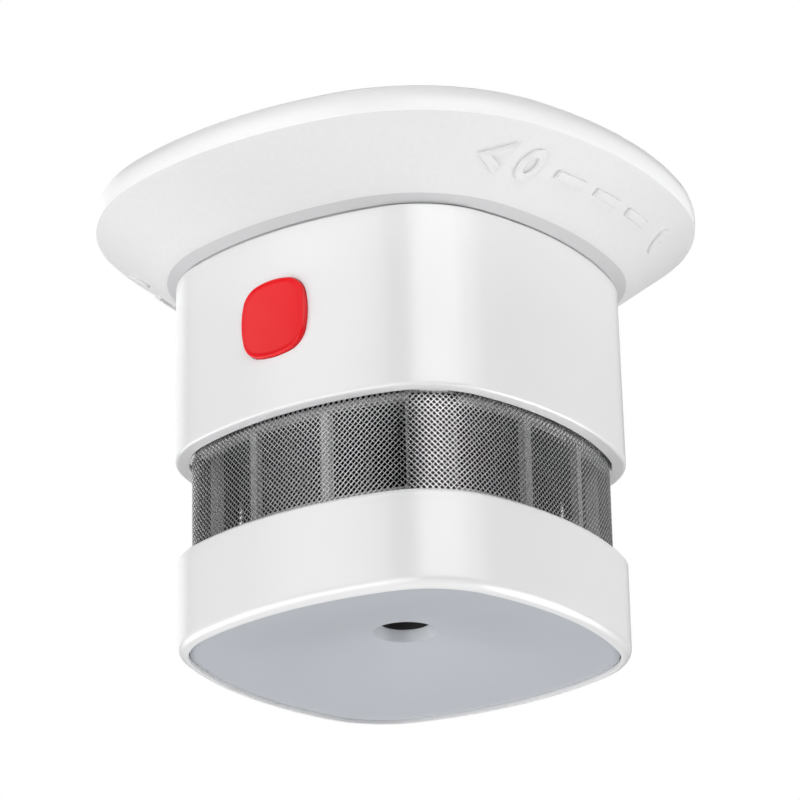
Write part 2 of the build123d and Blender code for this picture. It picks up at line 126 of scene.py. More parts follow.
def add_rings(bm, rings, caps=(True, True)):
    """Quads between successive rings of points, with a flat cap at either end."""
    loops = [[bm.verts.new([c * MM for c in p]) for p in ring] for ring in rings]
    for low, high in zip(loops, loops[1:]):
        for i in range(len(low)):
            j = (i + 1) % len(low)
            bm.faces.new((low[i], low[j], high[j], high[i]))
    if caps[0]:
        bm.faces.new(loops[0][::-1])
    if caps[1]:
        bm.faces.new(loops[-1])


def add_prism(bm, points, z_low, z_high):
    add_rings(bm, [level(points, z_low), level(points, z_high)])


def disc(radius, x=0.0, y=0.0, steps=48):
    return [
        (x + radius * cos(2 * pi * i / steps), y + radius * sin(2 * pi * i / steps))
        for i in range(steps)
    ]


def ring_sector(r_in, r_out, start, end, steps=12):
    """Outline of a ring sector, anticlockwise, with angles in degrees."""
    outer = arc((0, 0), r_out, start, end, steps)
    return outer + arc((0, 0), r_in, end, start, steps)


def slot_outline(x, radius, length, steps=16):
    """A round-ended slot, long along X."""
    right = arc((x + length / 2, 0), radius, -90, 90, steps)
    return right + arc((x - length / 2, 0), radius, 90, 270, steps)


def finish_mesh(name, bm, smooth_angle=32):
    """Turns a bmesh into an object whose faces are smooth up to an angle."""
    bmesh.ops.recalc_face_normals(bm, faces=bm.faces)
    mesh = bpy.data.meshes.new(name)
    bm.to_mesh(mesh)
    bm.free()
    piece = bpy.data.objects.new(name, mesh)
    bpy.context.scene.collection.objects.link(piece)
    smooth(piece, smooth_angle)
    return piece


def smooth(piece, angle):
    piece.data.shade_smooth()
    piece.data.set_sharp_from_angle(angle=radians(angle))


def carve(piece, cutter_bm, smooth_angle=32):
    """Cuts a bmesh's solids out of a piece."""
    cutter = finish_mesh("cutter", cutter_bm)
    modifier = piece.modifiers.new("cut", "BOOLEAN")
    modifier.operation = "DIFFERENCE"
    modifier.solver = "EXACT"
    modifier.object = cutter
    bpy.context.view_layer.update()
    evaluated = piece.evaluated_get(bpy.context.evaluated_depsgraph_get())
    mesh = bpy.data.meshes.new_from_object(evaluated)
    piece.modifiers.clear()
    piece.data = mesh
    bpy.data.objects.remove(cutter)
    smooth(piece, smooth_angle)


def add_solids(piece, bm, smooth_angle=32):
    """Joins a bmesh's solids into a piece."""
    bmesh.ops.recalc_face_normals(bm, faces=bm.faces)
    bm.from_mesh(piece.data)
    bm.to_mesh(piece.data)
    bm.free()
    smooth(piece, smooth_angle)


# ---------------------------------------------------------------- materials
class Shader:
    """A material with a Principled shader and short calls for its procedural parts."""

    def __init__(self, name, color, roughness, metallic=0.0, **sockets):
        self.material = bpy.data.materials.new(name)
        self.material.use_nodes = True
        self.tree = self.material.node_tree
        self.bsdf = self.tree.nodes["Principled BSDF"]
        self.color = color
        self.roughness = roughness
        self.bsdf.inputs["Metallic"].default_value = metallic
        for socket, value in sockets.items():
            self.bsdf.inputs[socket.replace("_", " ")].default_value = value
        self.coordinates = self.tree.nodes.new("ShaderNodeTexCoord").outputs["Object"]
        self.normal = None

    def node(self, kind, **settings):
        made = self.tree.nodes.new("ShaderNode" + kind)
        for key, value in settings.items():
            setattr(made, key, value)
        return made

    def link(self, a, b):
        self.tree.links.new(a, b)

    def noise(self, size_mm, detail=3.0, stretch=(1, 1, 1)):
        """Noise whose blobs are about size_mm across."""
        mapping = self.node("Mapping")
        mapping.inputs["Scale"].default_value = [s / (size_mm * MM) for s in stretch]
        self.link(self.coordinates, mapping.inputs["Vector"])
        made = self.node("TexNoise")
        made.inputs["Scale"].default_value = 1.0
        made.inputs["Detail"].default_value = detail
        self.link(mapping.outputs["Vector"], made.inputs["Vector"])
        return made.outputs["Fac"]

    def cells(self, size_mm, feature="F1"):
        mapping = self.node("Mapping")
        mapping.inputs["Scale"].default_value = [1 / (size_mm * MM)] * 3
        self.link(self.coordinates, mapping.inputs["Vector"])
        made = self.node("TexVoronoi", feature=feature)
        made.inputs["Scale"].default_value = 1.0
        self.link(mapping.outputs["Vector"], made.inputs["Vector"])
        return made.outputs["Distance"]

    def remap(self, value, low, high):
        made = self.node("MapRange", interpolation_type="SMOOTHSTEP")
        made.inputs["From Min"].default_value = 0.25
        made.inputs["From Max"].default_value = 0.75
        made.inputs["To Min"].default_value = low
        made.inputs["To Max"].default_value = high
        self.link(value, made.inputs["Value"])
        return made.outputs["Result"]

    def tone(self, value, spread):
        """Base colour that varies by plus or minus a share, following a pattern."""
        made = self.node("Mix", data_type="RGBA")
        made.inputs[6].default_value = [c * (1 - spread) for c in self.color] + [1]
        made.inputs[7].default_value = [min(1, c * (1 + spread)) for c in self.color] + [1]
        self.link(self.remap(value, 0, 1), made.inputs[0])
        self.link(made.outputs[2], self.bsdf.inputs["Base Color"])
        return self

    def polish(self, value, spread):
        low, high = self.roughness * (1 - spread), min(1, self.roughness * (1 + spread))
        self.link(self.remap(value, low, high), self.bsdf.inputs["Roughness"])
        return self

    def bump(self, value, height_mm, strength=1.0):
        made = self.node("Bump")
        made.inputs["Strength"].default_value = strength
        made.inputs["Distance"].default_value = height_mm * MM
        self.link(value, made.inputs["Height"])
        if self.normal is not None:
            self.link(self.normal, made.inputs["Normal"])
        self.normal = made.outputs["Normal"]
        self.link(self.normal, self.bsdf.inputs["Normal"])
        return self


def moulded_skin(shader, grain_mm=0.25, grain_height=0.0015):
    """Uneven polish and a fine grain, from the mould's walls."""
    shader.polish(shader.noise(5.0, 2.0), 0.06)
    shader.bump(shader.noise(grain_mm, 2.0), grain_height)
    return shader.material


def moulded(name, color, roughness, grain_mm=0.25, grain_height=0.0015, **sockets):
    """Injection-moulded plastic: faint flow marks, uneven polish and a fine grain."""
    shader = Shader(name, color, roughness, **sockets)
    shader.tone(shader.noise(14.0, 2.0), 0.006)
    return moulded_skin(shader, grain_mm, grain_height)


def cage_with_painted_shade(name, color, post_painted_shade, roughness):
    """Moulded plastic with painted shade: its corner posts, which lie where |x| and |y| are nearly
    equal, are painted dark.
    """
    shader = Shader(name, color, roughness)
    parts = shader.node("SeparateXYZ")
    shader.link(shader.coordinates, parts.inputs["Vector"])
    sizes = []
    for axis in "XY":
        size = shader.node("Math", operation="ABSOLUTE")
        shader.link(parts.outputs[axis], size.inputs[0])
        sizes.append(size.outputs[0])
    apart = shader.node("Math", operation="SUBTRACT")
    shader.link(sizes[0], apart.inputs[0])
    shader.link(sizes[1], apart.inputs[1])
    off_diagonal = shader.node("Math", operation="ABSOLUTE")
    shader.link(apart.outputs[0], off_diagonal.inputs[0])
    light = shader.node("Math", operation="GREATER_THAN")
    light.inputs[1].default_value = POST_REACH * MM
    shader.link(off_diagonal.outputs[0], light.inputs[0])
    # painted shade: dark on the corner posts, the cage colour elsewhere
    shade = shader.node("Mix", data_type="RGBA")
    shade.inputs[6].default_value = list(post_painted_shade) + [1]
    shade.inputs[7].default_value = list(color) + [1]
    shader.link(light.outputs[0], shade.inputs[0])
    shader.link(shade.outputs[2], shader.bsdf.inputs["Base Color"])
    return moulded_skin(shader)


def spark_eroded(name, color, roughness):
    """Plastic from a spark-eroded mould: a matt skin of tiny packed bumps."""
    shader = Shader(name, color, roughness, IOR=1.46)
    shader.tone(shader.noise(0.5, 3.0), 0.012)
    shader.polish(shader.noise(0.8, 3.0), 0.15)
    shader.bump(shader.cells(0.34), 0.02, 0.35)
    shader.bump(shader.noise(0.16, 2.0), 0.012, 0.4)
    return shader.material


def metal(name, color, roughness, stretch=(1, 1, 12), grain_mm=0.3, height=0.002):
    """Bare metal with fine drawn or rolled scratches."""
    shader = Shader(name, color, roughness, metallic=1.0)
    scratches = shader.noise(grain_mm, 3.0, stretch)
    shader.tone(shader.noise(4.0, 3.0), 0.06)
    shader.polish(scratches, 0.3)
    shader.bump(scratches, height)
    return shader.material


def circuit_board(name, color):
    """Solder mask over copper areas, with a faint weave from the glass cloth."""
    shader = Shader(name, color, 0.35, Coat_Weight=0.3)
    shader.tone(shader.cells(2.4, "DISTANCE_TO_EDGE"), 0.35)
    shader.polish(shader.noise(1.5, 3.0), 0.2)
    shader.bump(shader.noise(0.5, 1.0, (3, 1, 1)), 0.006)
    return shader.material


def foam(name, color):
    """Closed-cell foam tape: a matt skin of small cells."""
    shader = Shader(name, color, 0.85)
    shader.tone(shader.noise(0.6, 4.0), 0.12)
    shader.polish(shader.noise(1.2, 2.0), 0.08)
    shader.bump(shader.cells(0.5), 0.06, 0.6)
    return shader.material


WHITE = (0.76, 0.76, 0.765)
POST_REACH = 3.4                            # from the diagonal to a corner post's side, as |x| - |y|; the posts' painted shade reaches this far
materials = {
    "white_plastic": moulded("white_plastic", WHITE, 0.31, Specular_IOR_Level=1.0),
    # the base's plastic made whiter: painted light on the rim; its smoother finish is real
    "rim_plastic_painted_light": moulded("rim_plastic_painted_light", (0.90, 0.90, 0.905), 0.32),
    "textured_white": spark_eroded("textured_white", (0.71, 0.71, 0.715), 0.6),
    # the base's white plastic darkened: painted shade on the sloping collar band
    "collar_painted_shade": moulded("collar_painted_shade", (0.56, 0.56, 0.57), 0.5),
    "red_plastic": moulded("red_plastic", (0.76, 0.006, 0.011), 0.24, 0.5, 0.0008,
                           Specular_IOR_Level=0.3),
    "diffuser_grey": moulded("diffuser_grey", (0.44, 0.458, 0.492), 0.42, 0.2, 0.006, IOR=1.5),
    "screen_steel": metal("screen_steel", (0.62, 0.62, 0.63), 0.2, (1, 1, 1), 0.1, 0.001),
    # the white frame painted grey as painted shade behind the screen, its corner posts near black as
    # painted shade
    "cage_white": cage_with_painted_shade("cage_white", (0.42, 0.42, 0.42), (0.03, 0.03, 0.032), 0.5),
    "inner_white": moulded("inner_white", (0.80, 0.80, 0.79), 0.45),
    "chamber_black": spark_eroded("chamber_black", (0.012, 0.012, 0.013), 0.7),
    "board_green": circuit_board("board_green", (0.008, 0.03, 0.016)),
    "chip_black": moulded("chip_black", (0.02, 0.02, 0.022), 0.5, 0.15, 0.01),
    "shield_tin": metal("shield_tin", (0.62, 0.62, 0.60), 0.35),
    "nickel": metal("nickel", (0.70, 0.67, 0.62), 0.22),
    "cell_sleeve": moulded("cell_sleeve", (0.04, 0.08, 0.2), 0.25, 2.0, 0.01, Coat_Weight=0.4),
    "foam_pad": foam("foam_pad", (0.16, 0.16, 0.17)),
    "brass_disc": metal("brass_disc", (0.72, 0.52, 0.22), 0.25),
    "ceramic_disc": moulded("ceramic_disc", (0.75, 0.73, 0.68), 0.4, 0.3, 0.004),
    "seal_rubber": moulded("seal_rubber", (0.03, 0.03, 0.03), 0.7, 0.3, 0.01),
    "screw_steel": metal("screw_steel", (0.52, 0.52, 0.53), 0.3),
    "led_lens": moulded("led_lens", (0.8, 0.8, 0.85), 0.08, 1.0, 0.001, Transmission_Weight=0.8),
    "photodiode_epoxy": moulded("photodiode_epoxy", (0.02, 0.01, 0.015), 0.12, 1.0, 0.001),
    "led_chip": moulded("led_chip", (0.85, 0.82, 0.6), 0.4),
}


def clad(piece, *slots):
    """Gives a piece its material slots."""
    piece.data.materials.clear()
    for slot in slots:
        piece.data.materials.append(materials[slot])
    return piece


def dress_cad_nodes():
    """Gives each CAD node the material of its slot in the record."""
    for entry in frame["record"]["subparts"]:
        node = frame["nodes"][entry["node"]]
        for slot in node.material_slots:
            slot.link = "OBJECT"
            slot.material = materials[entry["material_slot"]]


def stand_for(piece, node, body):
    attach(piece, body)
    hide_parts(node)
    return piece


# ---------------------------------------------------------------- ceiling base
COLLAR_Z = span("base_shell", 2)[0]
BASE_LOW = COLLAR_Z + 0.55                  # the skirt ends here and the sloping collar starts
RIM_HALF = span("base_shell", 0)[1]
RIM_Z, BEAD_R, WIDEST_Z = -2.9, 4.0, -1.9
SKIRT_HALF = 22.2
COLLAR_INSET = 1.3
MOUTH_HALF = SKIRT_HALF - 1.6
PLATE_T, PLATE_INSET = 3.0, 3.2             # ceiling plate, and how far in its hollow starts
LOCK_T = 2.0
PAD_R, PAD_T = 11.6, 0.9
POCKET_DEPTH, POCKET_IN, POCKET_OUT = 1.2, 14.0, 24.5
POCKET_START, POCKET_STEP, POCKET_SPAN = 20, 26, 24   # degrees, from each X or Y axis
MOUNT_X, MOUNT_R, MOUNT_SLOT = 16.5, 2.1, 3.0
BEAD_STEPS, SKIRT_STEPS = 12, 10
EDGE = 0.15                                 # softening of the base's sharp edges


def rim_inset(z):
    """How far the rounded rim stands in from its widest line."""
    return BEAD_R - sqrt(BEAD_R**2 - (z - WIDEST_Z) ** 2)


RIM_INSET = rim_inset(RIM_Z)


def skirt_ring(z):
    """The skirt's outline at a height: straight lines from the rim to the lower edge."""
    top = outline(RIM_HALF - RIM_INSET, RIM_SHAPE)
    low = outline(SKIRT_HALF, SKIRT_SHAPE)
    return mix(low, top, (z - BASE_LOW) / (RIM_Z - BASE_LOW))


def base_rings():
    rings = [level(outline(RIM_HALF - rim_inset(0) - EDGE, RIM_SHAPE), 0.0)]
    for i in range(BEAD_STEPS + 1):
        z = -EDGE + (RIM_Z + EDGE) * i / BEAD_STEPS
        rings.append(level(outline(RIM_HALF - rim_inset(z), RIM_SHAPE), z))
    for i in range(1, SKIRT_STEPS + 1):
        z = RIM_Z + (BASE_LOW + EDGE - RIM_Z) * i / SKIRT_STEPS
        rings.append(level(skirt_ring(z), z))
    collar = ((0.02, BASE_LOW + 0.06), (0.12, BASE_LOW), (COLLAR_INSET, COLLAR_Z + 0.04),
              (COLLAR_INSET + 0.06, COLLAR_Z))
    for inset, z in collar:
        rings.append(level(outline(SKIRT_HALF - inset, SKIRT_SHAPE), z))
    mouth = outline(MOUTH_HALF, SKIRT_SHAPE)
    rings.append(level(mouth, COLLAR_Z))
    rings.append(level(mouth, BASE_LOW + LOCK_T))
    rings.append(level(outline(RIM_HALF - RIM_INSET - PLATE_INSET, RIM_SHAPE), -PLATE_T))
    return rings


def base_cutters():
    """Pad recess, eight shallow pockets and two screw slots in the ceiling plate."""
    bm = bmesh.new()
    add_prism(bm, disc(PAD_R, steps=96), -PAD_T, 1.0)
    for turn in range(4):
        for half in (0, 1):
            start = 90 * turn + POCKET_START + POCKET_STEP * half
            sector = ring_sector(POCKET_IN, POCKET_OUT, start, start + POCKET_SPAN)
            add_prism(bm, sector, -POCKET_DEPTH, 1.0)
    for side in (-1, 1):
        add_prism(bm, slot_outline(side * MOUNT_X, MOUNT_R, MOUNT_SLOT), -PLATE_T - 1, 1.0)
    return bm


# Raised marks on the two X sides, as strips in (along the side, height): left and right edges.
MARK_PROUD, MARK_ROOT = 0.3, 0.2
MARK_Z, MARK_HALF, MARK_BAR = -5.5, 1.2, 0.6
TIP_Y, RING_Y, DOT_Y = -16.6, -11.0, 13.0
ARROW_L, ARROW_NOTCH, ARROW_BAR = 2.6, 1.2, 0.7
DASHES, DASH_HALF = (-5.5, 0.5, 6.5), 1.9
ROUND_STEPS, DASH_STEPS = 40, 10


def mark_strips():
    """Arrow head, open ring, three dashes and a dot: plain marks for the two turning ways."""
    strips = []
    for up in (1, -1):
        outer = [(TIP_Y, MARK_Z), (TIP_Y + ARROW_L, MARK_Z + up * MARK_HALF)]
        inner = [(TIP_Y + ARROW_NOTCH, MARK_Z),
                 (TIP_Y + ARROW_L, MARK_Z + up * (MARK_HALF - ARROW_BAR))]
        strips.append((outer, inner, False))
    ring = arc((RING_Y, MARK_Z), MARK_HALF, 0, 360, ROUND_STEPS)[:-1]
    hole = arc((RING_Y, MARK_Z), MARK_HALF - MARK_BAR, 0, 360, ROUND_STEPS)[:-1]
    strips.append((ring, hole, True))
    for y in DASHES:
        along = [y - DASH_HALF + 2 * DASH_HALF * i / DASH_STEPS for i in range(DASH_STEPS + 1)]
        top = [(v, MARK_Z + MARK_BAR / 2) for v in along]
        low = [(v, MARK_Z - MARK_BAR / 2) for v in along]
        strips.append((top, low, False))
    radius = MARK_HALF * 0.8
    rim = arc((DOT_Y, MARK_Z), radius, 0, 360, ROUND_STEPS)[:-1]
    strips.append((rim, mix(rim, [(DOT_Y, MARK_Z)] * len(rim), 0.95), True))
    return strips


def skirt_point(y, z, proud):
    """A point on the skirt's +X side, moved out along the skirt's normal."""
    ring = skirt_ring(z)
    side = sorted((p for p in ring if p[0] > 15), key=lambda p: p[1])
    ys, xs = [p[1] for p in side], [p[0] for p in side]
    x = float(np.interp(y, ys, xs))
    slope_y = float(np.interp(y + 0.2, ys, xs) - np.interp(y - 0.2, ys, xs)) / 0.4
    slope_z = (RIM_HALF - RIM_INSET - SKIRT_HALF) / (RIM_Z - BASE_LOW)
    normal = Vector((1, -slope_y, -slope_z)).normalized()
    return (x + normal.x * proud, y + normal.y * proud, z + normal.z * proud)


def add_strip(bm, left, right, closed, turn):
    """A raised bar between two edge lines, with softened top edges."""
    spin = cos(turn)
    levels = ((-MARK_ROOT, 0.0), (MARK_PROUD * 0.6, 0.0), (MARK_PROUD * 0.9, 0.06),
              (MARK_PROUD, 0.16))
    columns = []
    for a, b in zip(left, right):
        column = []
        for proud, draw in levels:
            column.append(skirt_point(a[0] + (b[0] - a[0]) * draw, a[1] + (b[1] - a[1]) * draw, proud))
        for proud, draw in reversed(levels):
            column.append(skirt_point(b[0] + (a[0] - b[0]) * draw, b[1] + (a[1] - b[1]) * draw, proud))
        columns.append([bm.verts.new((spin * x * MM, spin * y * MM, z * MM)) for x, y, z in column])
    count = len(columns)
    for i in range(count if closed else count - 1):
        now, after = columns[i], columns[(i + 1) % count]
        for k in range(len(now)):
            m = (k + 1) % len(now)
            bm.faces.new((now[k], now[m], after[m], after[k]))
    if not closed:
        bm.faces.new(columns[0][::-1])
        bm.faces.new(columns[-1])


def base_trim():
    bm = bmesh.new()
    add_rings(bm, base_rings())
    piece = finish_mesh("base_trim", bm, 28)
    carve(piece, base_cutters(), 28)
    marks = bmesh.new()
    for left, right, closed in mark_strips():
        for turn in (0.0, pi):
            add_strip(marks, left, right, closed, turn)
    add_solids(piece, marks, 28)
    clad(piece, "textured_white", "rim_plastic_painted_light", "collar_painted_shade")
    for face in piece.data.polygons:
        # the rim's faces get the whiter copy: painted light
        if face.center.z > RIM_Z * MM and face.normal.z < 0.9:
            face.material_index = 1
        # the collar faces get the darker copy: painted shade
        if face.center.z < BASE_LOW * MM:
            face.material_index = 2
    return stand_for(piece, "base_shell", "base")


# ---------------------------------------------------------------- upper housing
HEAD_Z = -9.1
HOUSING_LOW = span("mesh_band", 2)[1] - 0.6
BODY_TOP_HALF = 20.85
BODY_LOW_HALF = 21.0
SCREEN_HALF = span("mesh_band", 0)[1]
WALL, DECK_T = 1.5, 1.5
TOP_FILLET, LIP_FILLET = 0.3, 0.35
BUTTON_Z = sum(span("test_button", 2)) / 2
BUTTON_FACE_Y = span("test_button", 1)[0] + 0.2   # nearly flush with the wall
BUTTON_HALF_W, BUTTON_GAP = 4.0, 0.06
BUTTON_TALL = 8.2 / 8.0
BUTTON_HOLE_Y = (-25.0, -17.0)              # the cut for the button runs through the wall
CELL_Y = sum(span("battery_cell", 1)) / 2
WELL_X, WELL_Y, WELL_DEPTH = 17.95, 8.8, 5  # battery opening: half width, half length, depth
BOSS_BORE_R = 0.85
BOSS_AT, BOSS_R, BOSS_TOP = 13.6, 2.6, -23.0
HOOK_R, HOOK_NECK, HOOK_HEAD, HOOK_ANGLE = 19.6, 1.5, 3.0, 6.0
HOOK_TOP, HOOK_UNDER = -4.8, -6.2


def wall_half(z):
    """The upper housing's half width, which narrows slightly downwards."""
    share = (HEAD_Z - z) / (HEAD_Z - HOUSING_LOW)
    return BODY_TOP_HALF + (BODY_LOW_HALF - BODY_TOP_HALF) * share


def housing_rings():
    section = arc((BODY_TOP_HALF - TOP_FILLET, HEAD_Z - TOP_FILLET), TOP_FILLET, 90, 0, 10)
    section += [(wall_half(z), z) for z in np.linspace(HEAD_Z - 2, HOUSING_LOW + 1, 12)]
    section += arc((BODY_LOW_HALF - LIP_FILLET, HOUSING_LOW + LIP_FILLET), LIP_FILLET, 0, -90, 6)
    inner = BODY_LOW_HALF - WALL
    section += [(inner + 0.12, HOUSING_LOW), (inner + 0.02, HOUSING_LOW + 0.1)]
    section += [(inner, HOUSING_LOW + 0.8), (inner, HEAD_Z - DECK_T)]
    return [level(outline(half, BODY_SHAPE), z) for half, z in section]


def button_section(inset):
    """The button's rounded-square section, as (x, z) offsets from its middle."""
    points = outline(BUTTON_HALF_W - inset, BUTTON_SHAPE)
    return [(x, z * BUTTON_TALL) for x, z in points]


def across(points, y):
    """Section points placed on a plane at a depth y, round the button's middle."""
    return [(x, y, BUTTON_Z + z) for x, z in points]


def upper_shell():
    bm = bmesh.new()
    add_rings(bm, housing_rings())
    piece = finish_mesh("upper_shell", bm)
    holes = bmesh.new()
    hole = button_section(-BUTTON_GAP)
    add_rings(holes, [across(hole, y) for y in BUTTON_HOLE_Y])
    well = [(-WELL_X, CELL_Y - WELL_Y), (WELL_X, CELL_Y - WELL_Y),
            (WELL_X, CELL_Y + WELL_Y), (-WELL_X, CELL_Y + WELL_Y)]
    add_prism(holes, well, HEAD_Z - WELL_DEPTH, HEAD_Z + 1)
    carve(piece, holes)
    details = bmesh.new()
    outer = HOOK_R + HOOK_NECK / 2
    for turn in range(4):
        start, end = 45 + 90 * turn - HOOK_ANGLE, 45 + 90 * turn + HOOK_ANGLE
        neck = ring_sector(outer - HOOK_NECK, outer, start, end)
        foot = ring_sector(HOOK_R - HOOK_HEAD / 2, outer, start, end)
        add_prism(details, neck, HEAD_Z - 0.3, HOOK_UNDER)
        add_prism(details, foot, HOOK_UNDER, HOOK_TOP)
    for x in (-BOSS_AT, BOSS_AT):
        for y in (-BOSS_AT, BOSS_AT):
            tube = [disc(r, x, y) for r in (BOSS_BORE_R, BOSS_R, BOSS_R, BOSS_BORE_R)]
            heights = (HOUSING_LOW, HOUSING_LOW, BOSS_TOP, BOSS_TOP)
            rings = [level(ring, z) for ring, z in zip(tube, heights)]
            add_rings(details, rings + rings[:1], caps=(False, False))
    bmesh.ops.remove_doubles(details, verts=details.verts, dist=1e-7)
    add_solids(piece, details)
    clad(piece, "white_plastic")
    return stand_for(piece, "upper_housing", "head")


# ---------------------------------------------------------------- test button
FLANGE_Y, FLANGE_T, FLANGE_EXTRA = -19.0, 0.9, 1.0
STEM_R = 1.6
EDGE_R, DISH_INSET, DISH_STEP, DISH_SAG = 0.2, 0.36, 0.05, 0.12
SAG_STEPS = 12


def button_cap():
    """Dished cap with a soft rim, on a retaining flange and a stem."""
    stem_end = span("test_button", 1)[1]
    section = button_section(0.0)
    stem = ((STEM_R - 0.2, stem_end), (STEM_R, stem_end - 0.1), (STEM_R, FLANGE_Y + FLANGE_T))
    rings = [across(circle_like(r, section), y) for r, y in stem]
    for y in (FLANGE_Y + FLANGE_T, FLANGE_Y):
        rings.append(across(button_section(-FLANGE_EXTRA), y))
    profile = [(0.0, FLANGE_Y), (0.0, BUTTON_FACE_Y + EDGE_R + 0.05)]
    profile += [(EDGE_R - x, BUTTON_FACE_Y + EDGE_R - y) for x, y in arc((0, 0), EDGE_R, 0, 100, 8)]
    profile += [(DISH_INSET - 0.05, BUTTON_FACE_Y + 0.03), (DISH_INSET, BUTTON_FACE_Y + DISH_STEP)]
    rings += [across(button_section(inset), y) for inset, y in profile]
    last = button_section(DISH_INSET)
    for i in range(1, SAG_STEPS):
        share = 1 - i / SAG_STEPS
        sag = DISH_STEP + DISH_SAG * (1 - share**2)
        rings.append(across(mix([(0.0, 0.0)] * len(last), last, share), BUTTON_FACE_Y + sag))
    bm = bmesh.new()
    add_rings(bm, rings)
    piece = finish_mesh("button_cap", bm, 40)
    clad(piece, "red_plastic")
    return stand_for(piece, "test_button", "button")


# ---------------------------------------------------------------- steel screen
WEAVE_PITCH = 0.42                          # between parallel wires, which run at 45 degrees
WIRE_HALF_W, WIRE_HALF_T, WEAVE_DEPTH, WIRE_SIDES = 0.06, 0.03, 0.025, 8


def around(half, count, shift):
    """Evenly spaced points round a body outline, with outward normals."""
    points = np.array(outline(half, BODY_SHAPE))
    closed = np.vstack([points, points[:1]])
    steps = np.hypot(*np.diff(closed, axis=0).T)
    along = np.concatenate([[0], np.cumsum(steps)])
    at = ((np.arange(count) + shift) / count % 1.0) * along[-1]
    xy = np.stack([np.interp(at, along, closed[:, k]) for k in (0, 1)], axis=1)
    tangent = np.roll(xy, -1, axis=0) - np.roll(xy, 1, axis=0)
    tangent /= np.linalg.norm(tangent, axis=1)[:, None]
    return xy, np.stack([tangent[:, 1], -tangent[:, 0]], axis=1), along[-1]


def steel_screen():
    """Plain-woven wire cloth on the bias: two families of wires that pass over and under."""
    low, high = span("mesh_band", 2)
    half = SCREEN_HALF - 0.125
    perimeter = around(half, 8, 0)[2]
    count = round(perimeter / (WEAVE_PITCH * sqrt(2)))
    rows = round((high - low) / (WEAVE_PITCH / sqrt(2)))
    rise = (high - low) / rows
    vertices, faces = [], []
    for lean in (1, -1):
        centres, normals = [], []
        for row in range(rows + 1):
            xy, normal, _ = around(half, count, lean * row / 2)
            over = WEAVE_DEPTH * lean * (1 if row % 2 else -1)
            z = np.full((count, 1), high - row * rise)
            centres.append(np.hstack([xy + normal * over, z]))
            normals.append(np.hstack([normal, np.zeros((count, 1))]))
        centres, normals = np.array(centres), np.array(normals)
        tangents = np.gradient(centres, axis=0)
        tangents /= np.linalg.norm(tangents, axis=2)[..., None]
        across_wire = np.cross(tangents, normals)
        angles = 2 * pi * (np.arange(WIRE_SIDES) + 0.5) / WIRE_SIDES
        through, beside_it = WIRE_HALF_T * np.cos(angles), WIRE_HALF_W * np.sin(angles)
        ring = centres[:, :, None] + (
            through[None, None, :, None] * normals[:, :, None]
            + beside_it[None, None, :, None] * across_wire[:, :, None])
        start = sum(len(v) for v in vertices)
        vertices.append(ring.reshape(-1, 3))
        index = start + np.arange(ring.shape[0] * count * WIRE_SIDES).reshape(
            ring.shape[0], count, WIRE_SIDES)
        beside = np.roll(index, -1, axis=2)
        quads = np.stack([index[:-1], beside[:-1], beside[1:], index[1:]], axis=-1)
        faces += quads.reshape(-1, 4).tolist()
        faces += index[0][:, ::-1].tolist() + index[-1].tolist()
    mesh = bpy.data.meshes.new("steel_screen")
    mesh.from_pydata((np.vstack(vertices) * MM).tolist(), [], faces)
    piece = bpy.data.objects.new("steel_screen", mesh)
    bpy.context.scene.collection.objects.link(piece)
    smooth(piece, 60)
    clad(piece, "screen_steel")
    return stand_for(piece, "mesh_band", "head")


# ---------------------------------------------------------------- lower cap and light panel
CAP_LOW, CAP_TOP = span("lower_cap", 2)
CAP_HALF = span("lower_cap", 0)[1]
CAP_FILLET, MOUTH_DEPTH, CAP_DECK = 1.1, 1.6, 1.4
CAP_EDGE_R = 0.35
CAP_HOLE_R, CAP_HOLE_DEPTH = 1.1, 2.5


def lower_shell():
    section = arc((CAP_HALF - CAP_EDGE_R, CAP_TOP - CAP_EDGE_R), CAP_EDGE_R, 90, 0, 6)
    section += [(CAP_HALF, z) for z in np.linspace(CAP_TOP - 1, CAP_LOW + CAP_FILLET + 0.5, 6)]
    section += arc((CAP_HALF - CAP_FILLET, CAP_LOW + CAP_FILLET), CAP_FILLET, 0, -86, 14)
    mouth = CAP_HALF - CAP_FILLET
    section += [(mouth, CAP_LOW + 0.03), (mouth, CAP_LOW + MOUTH_DEPTH)]
    section += [(CAP_HALF - WALL, CAP_LOW + MOUTH_DEPTH), (CAP_HALF - WALL, CAP_TOP - CAP_DECK)]
    bm = bmesh.new()
    add_rings(bm, [level(outline(half, BODY_SHAPE), z) for half, z in section])
    piece = finish_mesh("lower_shell", bm)
    holes = bmesh.new()
    for x in (-BOSS_AT, BOSS_AT):
        for y in (-BOSS_AT, BOSS_AT):
            add_prism(holes, disc(CAP_HOLE_R, x, y), CAP_TOP - CAP_HOLE_DEPTH, CAP_TOP + 1)
    carve(piece, holes)
    clad(piece, "white_plastic")
    return stand_for(piece, "lower_cap", "head")


PORT_R, PORT_LIP_R, FUNNEL = 2.65, 3.25, 1.0
PANEL_T, PANEL_FALL, DISH_FLAT = 1.2, 2.5, 3.55
DISH_STEPS = 28


